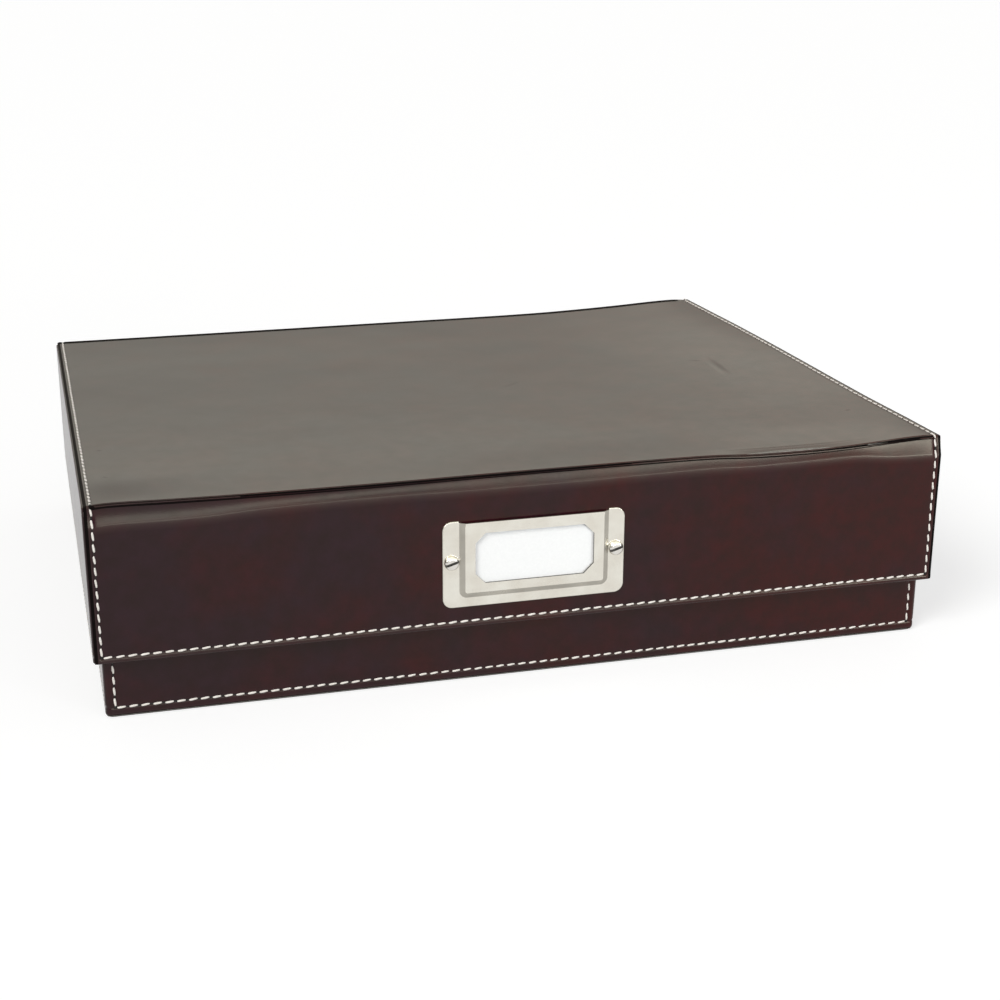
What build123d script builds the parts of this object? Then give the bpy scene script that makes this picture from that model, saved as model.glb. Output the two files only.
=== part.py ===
from build123d import *
from math import atan, degrees
import os

# File box: a shallow tray for papers under a deep lift-off lid, both made of greyboard panels
# wrapped in a coated covering, with a pressed metal card frame screwed to the lid's front.
# Millimetres. X runs to the right, the front faces -Y, Z is up.
# The origin is at the middle of the underside, on the surface that the box stands on.

# Overall size, over the covering
box_width = 356.0
box_depth = 286.0
box_height = 88.9
lid_skirt = 63.4

# Sheet materials
board = 1.8
cover = 0.6
lining = 0.4
corner_round = 2.2
turn_in = 14.0

# The lid's boards are pared back where the covering folds over at the front and back
fold_set = 1.4
fold_drop = 8.0

# Room between the lid and the base
side_play = 0.4
front_play = 2.5
rim_play = 0.1

# Card frame on the lid's front: a pressed plate with a raised pocket that is open at the top
frame_width = 76.2
frame_height = 36.6
frame_above_edge = 9.2
frame_shift = -1.7
frame_sheet = 0.8
frame_corner = 4.0
frame_edge_round = 0.35
ear_corner = 1.2
pocket_depth = 1.1
pocket_inset = 6.9
pocket_floor = 4.0
pocket_drop = 0.8
pocket_slope = 2.2
pocket_corner = 3.2
press_round = 0.5
lip_height = 1.3
lip_out = 0.4
window_width = 49.6
window_height = 21.2
window_corner = 4.2
window_above_edge = 10.0
card_thickness = 0.4
card_play = 0.3
card_side_play = 1.5
card_below_top = 1.6

# Screws and the threaded posts that hold the card frame
screw_inset = 3.7
screw_rise = 1.2
head_diameter = 6.2
head_height = 1.9
head_rim = 0.4
slot_width = 1.1
slot_depth = 0.8
slot_tilt = 17.0
shank_diameter = 2.6
post_diameter = 4.0
post_flange = 9.0
post_flange_thickness = 0.7
thread_play = 0.05
hole_play = 0.1

# Planes and faces that follow from the sizes above
wall = cover + board + cover
lid_bottom = box_height - lid_skirt
lid_inner_width = box_width - 2 * wall
lid_inner_depth = box_depth - 2 * wall
base_width = lid_inner_width - 2 * side_play
base_depth = lid_inner_depth - 2 * front_play
ceiling = box_height - cover - board - lining
base_rim = ceiling - rim_play
base_inner_width = base_width - 2 * wall
base_inner_depth = base_depth - 2 * wall
board_round = corner_round - cover
bottom_board_top = cover + board
skirt_board_bottom = lid_bottom + cover
side_cover_top = box_height - cover
seam_reach = 2 * wall
front_face = -box_depth / 2

os.makedirs("parts", exist_ok=True)


def keep(piece, name):
    piece.part.label = name
    export_step(piece.part, f"parts/{name}.step")


def panelOutline(side, width, depth):
    # Plan of one side's share of a wrapped ring: mitred at both corners
    half_width = width / 2
    half_depth = depth / 2
    if side in ("front", "back"):
        way = -1 if side == "front" else 1
        outer = way * half_depth
        inner = way * (half_depth - seam_reach)
        return [
            (-half_width, outer),
            (half_width, outer),
            (half_width - seam_reach, inner),
            (-half_width + seam_reach, inner),
        ]
    way = -1 if side == "left" else 1
    outer = way * half_width
    inner = way * (half_width - seam_reach)
    return [
        (outer, -half_depth),
        (outer, half_depth),
        (inner, half_depth - seam_reach),
        (inner, -half_depth + seam_reach),
    ]


def panelPrism(side, width, depth, low, high, mode):
    with BuildSketch(Plane.XY.offset(low)) as plan:
        with BuildLine():
            Polyline(*panelOutline(side, width, depth), close=True)
        make_face()
    extrude(plan.sketch, amount=high - low, mode=mode)


def boardPlan(side, width, depth):
    # Front and back boards run the whole width, the side boards stand between them
    if side in ("front", "back"):
        way = -1 if side == "front" else 1
        return (0, way * (depth / 2 - board / 2)), (width, board)
    way = -1 if side == "left" else 1
    return (way * (width / 2 - board / 2), 0), (board, depth - 2 * board)


def screwPlaces():
    reach = frame_width / 2 - screw_inset
    height = lid_bottom + frame_above_edge + frame_height / 2 + screw_rise
    return [(-reach, height), (reach, height)]


def faceOut(distance):
    # Upright plane on the lid's front, the given distance in front of the covering, its
    # origin below the card frame's middle, its x to the right and its y up
    return Plane(
        origin=(frame_shift, front_face - distance, 0), x_dir=(1, 0, 0), z_dir=(0, -1, 0)
    )


def postHoles():
    with BuildSketch(faceOut(0)) as holes:
        with Locations(*screwPlaces()):
            Circle(post_diameter / 2 + hole_play)
    extrude(holes.sketch, amount=-wall, mode=Mode.SUBTRACT)


sides = ("front", "back", "left", "right")

# Base: the sheet under the box, on which everything stands
with BuildPart() as base_bottom_cover:
    with BuildSketch():
        RectangleRounded(base_width, base_depth, corner_round)
    extrude(amount=cover)
keep(base_bottom_cover, "base_bottom_cover")

with BuildPart() as base_bottom_board:
    with BuildSketch(Plane.XY.offset(cover)):
        RectangleRounded(base_width - 2 * cover, base_depth - 2 * cover, board_round)
    extrude(amount=board)
keep(base_bottom_board, "base_bottom_board")

base_board_top = base_rim - cover
for side in sides:
    centre, plan = boardPlan(side, base_width - 2 * cover, base_depth - 2 * cover)
    with BuildPart() as base_wall_board:
        with BuildSketch(Plane.XY.offset(bottom_board_top)):
            with Locations(centre):
                Rectangle(*plan)
            RectangleRounded(
                base_width - 2 * cover, base_depth - 2 * cover, board_round, mode=Mode.INTERSECT
            )
        extrude(amount=base_board_top - bottom_board_top)
    keep(base_wall_board, f"base_{side}_board")

# Base: the covering of each wall, over the rim and down the inside
for side in sides:
    with BuildPart() as base_wall_cover:
        with BuildSketch(Plane.XY.offset(cover)):
            RectangleRounded(base_width, base_depth, corner_round)
        extrude(amount=base_rim - cover)
        with BuildSketch(Plane.XY.offset(cover)):
            RectangleRounded(base_width - 2 * cover, base_depth - 2 * cover, board_round)
        extrude(amount=base_board_top - cover, mode=Mode.SUBTRACT)
        with BuildSketch(Plane.XY.offset(base_rim - turn_in)):
            Rectangle(base_inner_width + 2 * cover, base_inner_depth + 2 * cover)
        extrude(amount=turn_in)
        with BuildSketch(Plane.XY.offset(cover)):
            Rectangle(base_inner_width, base_inner_depth)
        extrude(amount=base_rim - cover, mode=Mode.SUBTRACT)
        panelPrism(side, base_width, base_depth, cover, base_rim, Mode.INTERSECT)
    keep(base_wall_cover, f"base_{side}_cover")

# Base: the lining on the floor and up the walls to the turned-in covering
base_lining_width = base_inner_width + 2 * cover
base_lining_depth = base_inner_depth + 2 * cover
with BuildPart() as base_floor_lining:
    with BuildSketch(Plane.XY.offset(bottom_board_top)):
        Rectangle(base_lining_width, base_lining_depth)
    extrude(amount=lining)
keep(base_floor_lining, "base_floor_lining")

base_lining_bottom = bottom_board_top + lining
base_lining_height = base_rim - turn_in - base_lining_bottom
with BuildPart() as base_wall_lining:
    with BuildSketch(Plane.XY.offset(base_lining_bottom)):
        Rectangle(base_lining_width, base_lining_depth)
        Rectangle(
            base_lining_width - 2 * lining, base_lining_depth - 2 * lining, mode=Mode.SUBTRACT
        )
    extrude(amount=base_lining_height)
keep(base_wall_lining, "base_wall_lining")

# Lid: the top board, and the four skirt boards glued under its edges
lid_board_width = box_width - 2 * cover
lid_board_depth = box_depth - 2 * cover
top_board_bottom = box_height - cover - board


def lidSolid(width, depth, low, high, edge_round):
    # A block of the lid's shape: rounded upright edges, pared folds, rounded side edges
    half_depth = depth / 2
    with BuildPart(mode=Mode.PRIVATE) as block:
        with BuildSketch(Plane.YZ.offset(-width / 2)):
            with BuildLine():
                Polyline(
                    (-half_depth, low),
                    (half_depth, low),
                    (half_depth, high - fold_drop),
                    (half_depth - fold_set, high),
                    (fold_set - half_depth, high),
                    (-half_depth, high - fold_drop),
                    close=True,
                )
            make_face()
        extrude(amount=width)
        fillet(block.edges().filter_by(Axis.Y).group_by(Axis.Z)[-1], edge_round)
        with BuildSketch(Plane.XY.offset(low)):
            RectangleRounded(width, depth, edge_round)
        extrude(amount=high - low, mode=Mode.INTERSECT)
    return block.part


def lidCore():
    add(
        lidSolid(
            lid_board_width, lid_board_depth, skirt_board_bottom, side_cover_top, board_round
        ),
        mode=Mode.INTERSECT,
    )


with BuildPart() as lid_top_board:
    with BuildSketch(Plane.XY.offset(top_board_bottom)):
        Rectangle(lid_board_width, lid_board_depth)
    extrude(amount=board)
    lidCore()
keep(lid_top_board, "lid_top_board")

for side in sides:
    centre, plan = boardPlan(side, lid_board_width, lid_board_depth)
    with BuildPart() as lid_skirt_board:
        with BuildSketch(Plane.XY.offset(skirt_board_bottom)):
            with Locations(centre):
                Rectangle(*plan)
        extrude(amount=top_board_bottom - skirt_board_bottom)
        lidCore()
        if side == "front":
            postHoles()
    keep(lid_skirt_board, f"lid_{side}_board")


def lidSkin():
    # The whole covering of the lid: outside, under the skirt's edge and up the inside
    outside = lidSolid(box_width, box_depth, lid_bottom, box_height, corner_round)
    inside = lidSolid(
        lid_board_width, lid_board_depth, skirt_board_bottom, side_cover_top, board_round
    )
    with BuildPart(mode=Mode.PRIVATE) as hem:
        with BuildSketch(Plane.XY.offset(lid_bottom)):
            Rectangle(lid_inner_width + 2 * cover, lid_inner_depth + 2 * cover)
            Rectangle(lid_inner_width, lid_inner_depth, mode=Mode.SUBTRACT)
        extrude(amount=turn_in)
    with BuildPart(mode=Mode.PRIVATE) as mouth:
        with BuildSketch(Plane.XY.offset(lid_bottom)):
            Rectangle(lid_inner_width, lid_inner_depth)
        extrude(amount=cover)
    add(outside)
    add(inside, mode=Mode.SUBTRACT)
    add(mouth.part, mode=Mode.SUBTRACT)
    add(hem.part)


# Lid: each side's covering reaches up to the wrap, which lies over its upper edge
for side in ("left", "right"):
    with BuildPart() as lid_side_cover:
        lidSkin()
        panelPrism(side, box_width, box_depth, lid_bottom, side_cover_top, Mode.INTERSECT)
    keep(lid_side_cover, f"lid_{side}_cover")

# Lid: one piece of covering runs up the back, over the top and down the front
with BuildPart() as lid_wrap_cover:
    lidSkin()
    for side in ("left", "right"):
        panelPrism(side, box_width, box_depth, lid_bottom, side_cover_top, Mode.SUBTRACT)
    postHoles()
keep(lid_wrap_cover, "lid_wrap_cover")

# Lid: the lining under the top board and down the skirt to the turned-in covering
lid_lining_width = lid_inner_width + 2 * cover
lid_lining_depth = lid_inner_depth + 2 * cover
with BuildPart() as lid_ceiling_lining:
    with BuildSketch(Plane.XY.offset(ceiling)):
        Rectangle(lid_lining_width, lid_lining_depth)
    extrude(amount=lining)
keep(lid_ceiling_lining, "lid_ceiling_lining")

with BuildPart() as lid_wall_lining:
    with BuildSketch(Plane.XY.offset(lid_bottom + turn_in)):
        Rectangle(lid_lining_width, lid_lining_depth)
        Rectangle(
            lid_lining_width - 2 * lining, lid_lining_depth - 2 * lining, mode=Mode.SUBTRACT
        )
    extrude(amount=ceiling - lid_bottom - turn_in)
    postHoles()
keep(lid_wall_lining, "lid_wall_lining")

# Card frame: flat ears and lower flange, a raised pocket with sloping walls and a lip along
# its open top, and a window with cut-off corners
frame_bottom = lid_bottom + frame_above_edge
frame_middle = frame_bottom + frame_height / 2
frame_top = frame_bottom + frame_height
pocket_width = frame_width - 2 * pocket_inset
pocket_bottom = frame_bottom + pocket_floor
pocket_top = frame_top - pocket_drop
pocket_taper = degrees(atan(pocket_slope / pocket_depth))
lip_width = pocket_width - 2 * pocket_slope
window_middle = frame_bottom + window_above_edge + window_height / 2
frame_front = pocket_depth + frame_sheet


def pocketOutline():
    # Runs on past the top of the frame, so that only the sides and the lower edge slope
    outline_top = frame_top + pocket_floor
    with BuildSketch(Plane.XY) as outline:
        with Locations((0, (pocket_bottom + outline_top) / 2)):
            RectangleRounded(pocket_width, outline_top - pocket_bottom, pocket_corner)
    return outline.sketch


with BuildPart() as pressed_pocket:
    extrude(faceOut(frame_sheet) * pocketOutline(), amount=pocket_depth, taper=pocket_taper)
    fillet(pressed_pocket.faces().sort_by(Axis.Y)[0].edges(), press_round)

with BuildPart() as label_holder:
    with BuildSketch(faceOut(0)) as plate_outline:
        with Locations((0, frame_middle)):
            RectangleRounded(frame_width, frame_height, frame_corner)
        with Locations((0, frame_top)):
            Rectangle(pocket_width, 2 * pocket_drop, mode=Mode.SUBTRACT)
        ear_tops = plate_outline.vertices().filter_by_position(
            Axis.X, -pocket_width / 2, pocket_width / 2
        )
        fillet(ear_tops.group_by(Axis.Z)[-1], min(ear_corner, pocket_drop / 2))
    extrude(amount=frame_sheet)
    fillet(label_holder.faces().sort_by(Axis.Y)[0].edges(), frame_edge_round)
    add(pressed_pocket.part)
    with BuildSketch(faceOut(0)):
        with Locations((0, frame_top + frame_height / 2)):
            Rectangle(pocket_width, frame_height + 2 * pocket_drop)
    extrude(amount=2 * frame_front, mode=Mode.SUBTRACT)
    with BuildSketch(faceOut(pocket_depth)):
        with Locations((0, pocket_top - lip_height / 2)):
            Rectangle(lip_width, lip_height)
    extrude(amount=frame_sheet + lip_out)
    extrude(
        faceOut(0) * pocketOutline(),
        amount=pocket_depth,
        taper=pocket_taper,
        mode=Mode.SUBTRACT,
    )
    with BuildSketch(faceOut(0)) as window_outline:
        with Locations((0, window_middle)):
            Rectangle(window_width, window_height)
        chamfer(window_outline.vertices(), window_corner)
    extrude(amount=frame_front, mode=Mode.SUBTRACT)
    with BuildSketch(faceOut(0)):
        with Locations(*screwPlaces()):
            Circle(shank_diameter / 2 + hole_play)
    extrude(amount=frame_sheet, mode=Mode.SUBTRACT)
keep(label_holder, "label_holder")

# The card stands on the pocket's sloping lower wall, between the covering and the frame
card_front = card_play + card_thickness
card_bottom = pocket_bottom + card_front * pocket_slope / pocket_depth + rim_play
card_height = pocket_top - card_below_top - card_bottom
card_width = lip_width - 2 * card_side_play
with BuildPart() as label_card:
    with BuildSketch(faceOut(card_play)):
        with Locations((0, card_bottom + card_height / 2)):
            Rectangle(card_width, card_height)
    extrude(amount=card_thickness)
keep(label_card, "label_card")

# Slotted dome-headed screws and the flanged posts behind the skirt board
post_depth = cover + board + lining
with BuildPart() as label_screws:
    with BuildSketch(faceOut(frame_sheet)):
        with Locations(*screwPlaces()):
            Circle(head_diameter / 2)
    extrude(amount=head_height)
    fillet(label_screws.faces().group_by(Axis.Y)[0].edges(), head_height - head_rim)
    with BuildSketch(faceOut(frame_sheet + head_height - slot_depth)):
        with Locations(*screwPlaces()):
            Rectangle(head_diameter, slot_width, rotation=slot_tilt)
    extrude(amount=slot_depth, mode=Mode.SUBTRACT)
    with BuildSketch(faceOut(frame_sheet)):
        with Locations(*screwPlaces()):
            Circle(shank_diameter / 2)
    extrude(amount=-frame_sheet - post_depth)
keep(label_screws, "label_screws")

with BuildPart() as label_posts:
    with BuildSketch(faceOut(0)):
        with Locations(*screwPlaces()):
            Circle(post_diameter / 2)
    extrude(amount=-post_depth)
    with BuildSketch(faceOut(-post_depth)):
        with Locations(*screwPlaces()):
            Circle(post_flange / 2)
    extrude(amount=-post_flange_thickness)
    with BuildSketch(faceOut(0)):
        with Locations(*screwPlaces()):
            Circle(shank_diameter / 2 + thread_play)
    extrude(amount=-post_depth, mode=Mode.SUBTRACT)
keep(label_posts, "label_posts")
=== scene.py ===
import math
import random

import bmesh
import bpy
from mathutils import Matrix, Vector, noise


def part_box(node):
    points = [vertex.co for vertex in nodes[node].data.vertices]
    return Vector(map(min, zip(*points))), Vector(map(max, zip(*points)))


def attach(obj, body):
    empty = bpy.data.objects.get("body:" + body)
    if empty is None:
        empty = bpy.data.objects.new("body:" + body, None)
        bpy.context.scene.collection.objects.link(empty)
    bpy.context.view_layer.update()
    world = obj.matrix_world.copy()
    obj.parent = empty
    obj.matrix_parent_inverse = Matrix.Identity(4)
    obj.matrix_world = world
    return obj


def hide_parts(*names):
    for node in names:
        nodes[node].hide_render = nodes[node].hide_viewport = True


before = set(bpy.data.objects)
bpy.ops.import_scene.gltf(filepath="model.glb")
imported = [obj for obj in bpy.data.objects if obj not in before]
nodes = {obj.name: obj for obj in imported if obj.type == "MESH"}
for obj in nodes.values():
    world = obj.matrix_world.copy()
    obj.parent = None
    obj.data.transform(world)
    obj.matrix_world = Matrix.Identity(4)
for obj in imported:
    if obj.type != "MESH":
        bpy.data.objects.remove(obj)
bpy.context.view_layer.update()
mm = 0.001  # the pieces below are drawn in millimetres
quarter = [math.radians(22.5 * k) for k in range(5)]  # a rounded edge is drawn in four steps
print("frame loaded:", len(nodes), "nodes")


def boxOf(node):
    low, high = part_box(node)
    return [v / mm for v in low], [v / mm for v in high]


def smooth(low, high, value):
    # 0 below low, 1 above high, eased between them
    t = min(1, max(0, (value - low) / (high - low)))
    return t * t * (3 - 2 * t)


def hump(distance, width):
    return math.exp(-((distance / width) ** 2))


def swell(shape, place):
    # A rounded rise, given by its size, its middle and its width
    size, middle, width = shape
    return size * hump(place - middle, width)


def between(rows, x):
    # A smooth curve through rows of (x, value, value, ...)
    if x <= rows[0][0]:
        return rows[0][1:]
    for k, (a, b) in enumerate(zip(rows, rows[1:])):
        if x <= b[0]:
            before, after = rows[max(0, k - 1)], rows[min(len(rows) - 1, k + 2)]
            span = b[0] - a[0]
            t = (x - a[0]) / span
            values = []
            for p, v, w, q in zip(before[1:], a[1:], b[1:], after[1:]):
                leaving = span * (w - p) / (b[0] - before[0])
                arriving = span * (q - v) / (after[0] - a[0])
                values.append(v * (1 + 2 * t) * (1 - t) ** 2 + w * t * t * (3 - 2 * t)
                              + leaving * t * (1 - t) ** 2 - arriving * t * t * (1 - t))
            return values
    return rows[-1][1:]


def ripple(x, y, z, length, seed):
    # Slow unevenness of a glued sheet, from -1 to 1
    return noise.noise(Vector((x / length + seed, y / length, z / length)))


# Main sizes, all read from the CAD nodes
lidLow, lidHigh = boxOf("lid_wrap_cover")
lid = {
    "halfWidth": boxOf("lid_right_cover")[1][0],
    "halfDepth": lidHigh[1],
    "low": lidLow[2],
    "top": lidHigh[2],
}
baseLow, baseHigh = boxOf("base_front_cover")
base = {
    "halfWidth": boxOf("base_right_cover")[1][0],
    "halfDepth": boxOf("base_back_cover")[1][1],
    "low": baseLow[2],
    "rim": baseHigh[2],
}

# The covering's sheet, and how it is cut and turned over the boards
sheetCut = {
    "thickness": 0.6,
    "wall": 3.0,  # board with covering on both faces
    "turnIn": 14.0,
    "turnInRows": 5,
    "hemRound": 0.9,
    "flange": 4.0,  # how far a wall's sheet runs under its neighbour
    "flangeFlat": 0.6,  # flat stretch before it bends up into the wall
    "paperThickness": 0.4,
}

# The places of the seams, and the thread sewn along them
seam = {
    "lidMargin": 3.4,
    "lidHem": 2.7,
    "baseMargin": 4.0,
    "baseHem": 4.4,
    "rimMargin": 3.2,
    "groove": 0.25,  # how deep the row pulls the covering in
    "grooveWidth": 0.75,
    "pitch": 4.7,
    "length": 3.75,
    "width": 0.88,
    "halfHeight": 0.33,
    "sunk": 0.22,  # middle of the thread below the covering's face
    "dive": 0.62,  # how much deeper its two ends go
    "thinning": 0.3,  # share of its width that it loses there
    "ply": 0.1,  # how far its two plies bulge, and their turn over half a stitch
    "plyTurn": 2.2,
    "stations": (-1, -0.95, -0.84, -0.6, -0.3, 0, 0.3, 0.6, 0.84, 0.95, 1),
    "sides": 8,
    "lean": 6.0,  # degrees, as a lockstitch slants across its row
    "leanPlay": 1.8,
    "sidePlay": 0.07,
    "lengthPlay": 0.12,
    "widthPlay": 0.06,
    "endGap": 0.3,  # how far inside a stitch's ends its direction is taken
    "rowStep": 6,
    "seed": 11,
}

# The needle's hole between two stitches, a flat dark lens
hole = {"halfLength": 0.85, "halfWidth": 0.5, "rim": 0.02, "crown": 0.06, "depth": 0.3, "sides": 8}


def seamGroove(distance):
    return seam["groove"] * hump(distance, seam["grooveWidth"])


def addObject(name, data):
    thing = bpy.data.objects.new(name, data)
    bpy.context.scene.collection.objects.link(thing)
    return thing


def meshObject(name, bm, materials):
    mesh = bpy.data.meshes.new(name)
    bm.to_mesh(mesh)
    bm.free()
    for material in materials:
        mesh.materials.append(material)
    return addObject(name, mesh)


# Materials

def linear(code):
    values = [int(code[i:i + 2], 16) / 255 for i in (1, 3, 5)]
    return [v / 12.92 if v <= 0.04045 else ((v + 0.055) / 1.055) ** 2.4 for v in values] + [1]


def nodeAdder(owner):
    # Empties the owner's node tree and gives the function that adds a node with settings and links
    owner.use_nodes = True
    tree = owner.node_tree
    tree.nodes.clear()

    def add(kind, inputs=None, **settings):
        node = tree.nodes.new("ShaderNode" + kind)
        for key, value in settings.items():
            setattr(node, key, value)
        for key, value in (inputs or {}).items():
            if isinstance(value, bpy.types.NodeSocket):
                tree.links.new(value, node.inputs[key])
            else:
                node.inputs[key].default_value = value
        return node

    return add


def newMaterial(name):
    material = bpy.data.materials.new(name)
    return material, nodeAdder(material)


noiseSpan = {"From Min": 0.3, "From Max": 0.7}  # where most of a noise's values lie


def coatedLeather(name, look):
    # Leatherette: woven backing with a calendered polyurethane coat. The coat is smooth and only
    # lightly embossed, so it looks nearly black head on and mirrors the room softly at a low angle.
    material, add = newMaterial(name)
    place = add("TexCoord").outputs["Object"]
    clouds = add("TexNoise", {
        "Vector": place, "Scale": 1 / (look["cloudMm"] * mm), "Detail": 3.0, "Roughness": 0.55})
    mottle = add("TexNoise", {
        "Vector": place, "Scale": 1 / (look["mottleMm"] * mm), "Detail": 4.0, "Roughness": 0.6})
    drift = add("SeparateXYZ", {0: place})
    drift = add("Math", {
        0: drift.outputs["X"], 1: -look["drift"] / mm, 2: clouds.outputs["Fac"]},
        operation="MULTIPLY_ADD")
    cloudShare = add("MapRange", {"Value": drift.outputs[0], **noiseSpan})
    mottleShare = add("MapRange", {
        "Value": mottle.outputs["Fac"], "From Min": 0.35, "From Max": 0.7, "To Max": 0.6})
    tone = add("Mix", {
        0: cloudShare.outputs[0], 6: linear(look["red"]), 7: linear(look["grey"])}, data_type="RGBA")
    tone = add("Mix", {
        0: mottleShare.outputs[0], 6: tone.outputs[2], 7: linear(look["dark"])}, data_type="RGBA")
    wear = add("Attribute", attribute_name="wear")
    rubbed = add("Math", {0: wear.outputs["Fac"], 1: mottle.outputs["Fac"]}, operation="MULTIPLY")
    tone = add("Mix", {
        0: rubbed.outputs[0], 6: tone.outputs[2], 7: linear(look["rubbed"])}, data_type="RGBA")
    grain = add("TexVoronoi", {
        "Vector": place, "Scale": 1 / (look["grainMm"] * mm), "Smoothness": 0.6}, feature="SMOOTH_F1")
    drag = add("TexNoise", {"Vector": place, "Scale": 1 / (look["dragMm"] * mm), "Detail": 3.0})
    relief = add("Math", {
        0: drag.outputs["Fac"], 1: look["dragShare"], 2: grain.outputs["Distance"]},
        operation="MULTIPLY_ADD")
    bump = add("Bump", {
        "Strength": look["emboss"], "Distance": look["embossMm"] * mm, "Height": relief.outputs[0]})
    gloss = add("MapRange", {
        "Value": mottle.outputs["Fac"], **noiseSpan, "To Min": look["roughness"][0],
        "To Max": look["roughness"][1]})
    marks = 0.0
    for (x, y), length, width, turn, depth in look["scuffs"]:
        near = add("Mapping", {
            "Vector": place, "Location": (x * mm, y * mm, lid["top"] * mm),
            "Rotation": (0, 0, math.radians(turn)),
            "Scale": (length / 2 * mm, width / 2 * mm, 4 * mm)}, vector_type="TEXTURE")
        reach = add("VectorMath", {0: near.outputs[0]}, operation="LENGTH")
        mark = add("MapRange", {
            "Value": reach.outputs["Value"], "From Min": 0.4, "To Min": depth, "To Max": 0.0})
        marks = add("Math", {0: mark.outputs[0], 1: marks}, operation="ADD").outputs[0]
    dulled = add("MapRange", {"Value": marks, "To Min": 0.5, "To Max": 0.1}, clamp=False)
    shader = add("BsdfPrincipled", {
        "Base Color": tone.outputs[2], "Roughness": gloss.outputs[0], "IOR": look["ior"],
        "Specular IOR Level": dulled.outputs[0], "Specular Tint": linear(look["mirror"]),
        "Normal": bump.outputs[0]})
    add("OutputMaterial", {"Surface": shader.outputs[0]})
    return material


def speckled(name, look):
    # Sheet stock with a fine random grain in colour and relief: paper, board, paint, backing cloth
    material, add = newMaterial(name)
    place = add("TexCoord").outputs["Object"]
    stretch = add("VectorMath", {0: place, 1: look.get("stretch", (1, 1, 1))}, operation="MULTIPLY")
    grain = add("TexNoise", {
        "Vector": stretch.outputs[0], "Scale": 1 / (look["grainMm"] * mm), "Detail": 3.0})
    share = add("MapRange", {"Value": grain.outputs["Fac"], **noiseSpan})
    tone = add("Mix", {
        0: share.outputs[0], 6: linear(look["colour"]), 7: linear(look["fleck"])}, data_type="RGBA")
    bump = add("Bump", {
        "Strength": look["relief"], "Distance": look["reliefMm"] * mm, "Height": grain.outputs["Fac"]})
    shader = add("BsdfPrincipled", {
        "Base Color": tone.outputs[2], "Roughness": look["roughness"], "IOR": look["ior"],
        "Specular IOR Level": look.get("mirror", 0.5), "Sheen Weight": look.get("sheen", 0.0),
        "Normal": bump.outputs[0]})
    add("OutputMaterial", {"Surface": shader.outputs[0]})
    return material


def satinNickel(name, look):
    # Nickel plate over pressed steel, tumbled to a satin: a warm pale grey metal whose
    # reflections are soft and slightly cloudy
    material, add = newMaterial(name)
    place = add("TexCoord").outputs["Object"]
    clouds = add("TexNoise", {"Vector": place, "Scale": 1 / (look["cloudMm"] * mm), "Detail": 4.0})
    share = add("MapRange", {"Value": clouds.outputs["Fac"], "From Min": 0.36, "From Max": 0.64})
    tone = add("Mix", {
        0: share.outputs[0], 6: linear(look["colour"]), 7: linear(look["cloud"])}, data_type="RGBA")
    gloss = add("MapRange", {
        "Value": clouds.outputs["Fac"], **noiseSpan, "To Min": look["roughness"][0],
        "To Max": look["roughness"][1]})
    tumbled = add("TexNoise", {"Vector": place, "Scale": 1 / (look["grainMm"] * mm), "Detail": 2.0})
    bump = add("Bump", {
        "Strength": 0.3, "Distance": look["grainDepthMm"] * mm, "Height": tumbled.outputs["Fac"]})
    shader = add("BsdfPrincipled", {
        "Base Color": tone.outputs[2], "Metallic": 1.0, "Roughness": gloss.outputs[0],
        "Normal": bump.outputs[0]})
    add("OutputMaterial", {"Surface": shader.outputs[0]})
    return material


coveringLook = {
    "red": "#33060e", "grey": "#250f1b", "dark": "#19060b", "rubbed": "#54403e",
    "mirror": "#fffbe2",
    # Marks on the top from handling: place, length, width, turn and depth of each, where a
    # depth below zero is a place rubbed brighter
    "scuffs": [
        ((-167.3, -67.6), 3.4, 1.5, 10, 0.8), ((-167.1, -105.4), 3.0, 1.4, -15, 0.7),
        ((157.9, -94.7), 3.8, 1.5, 5, 1.0), ((28.5, -7.0), 16, 1.8, 38, 0.5),
        ((135.2, -3.1), 4.2, 42, -3.6, 0.6), ((131.6, -8.0), 3.4, 32, -3.6, -0.5),
        ((128.0, 9.5), 8, 2.4, -20, 0.6)],
    "drift": 0.0011,  # towards the grey, for each millimetre to the left
    "cloudMm": 26, "mottleMm": 8, "grainMm": 1.0, "dragMm": 3.5, "dragShare": 0.1,
    "emboss": 0.2, "embossMm": 0.03, "roughness": (0.205, 0.24), "ior": 1.33,
}
covering = coatedLeather("coatedLeather", coveringLook)
# Backing cloth of the leatherette: matt, brown, never seen except at a cut
backing = speckled("backingCloth", {
    "colour": "#3a2b28", "fleck": "#2a1f1d", "grainMm": 0.8, "relief": 0.3, "reliefMm": 0.05,
    "roughness": 0.9, "ior": 1.5})
# Acrylic edge paint, brushed along the cut and let in: black, matt, a little lumpy. The same black is
# also laid on faces as painted shade: in the top's front groove and lip, along the back fold, on the
# base's foot and along the wrap's side edges
blackEdgeAndShade = speckled("edgeAndShadePaint", {
    "colour": "#0a0707", "fleck": "#120c0c", "grainMm": 1.5, "relief": 0.4, "reliefMm": 0.05,
    "roughness": 0.6, "ior": 1.49, "mirror": 0.03})
# Spun polyester sewing thread, undyed: off-white, dull, with a short fuzz that lights its edges
thread = speckled("spunThread", {
    "colour": "#f1ece5", "fleck": "#d8d0c6", "grainMm": 0.7, "relief": 0.5, "reliefMm": 0.08,
    "roughness": 0.75, "ior": 1.53, "sheen": 0.2})
# Punched hole in the covering: its black stands in, as painted shade, for the inside of the hole
holeShade = speckled("holeShade", {
    "colour": "#050404", "fleck": "#080606", "grainMm": 0.6, "relief": 0.2, "reliefMm": 0.02,
    "roughness": 0.8, "ior": 1.45})
# Laid lining paper, dyed through and calendered: matt black-brown with a faint long fibre
liningPaper = speckled("liningPaper", {
    "colour": "#2a2022", "fleck": "#1f1719", "grainMm": 1.4, "relief": 0.35, "reliefMm": 0.04,
    "roughness": 0.8, "ior": 1.5, "stretch": (1, 1, 2.5), "sheen": 0.1})
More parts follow.
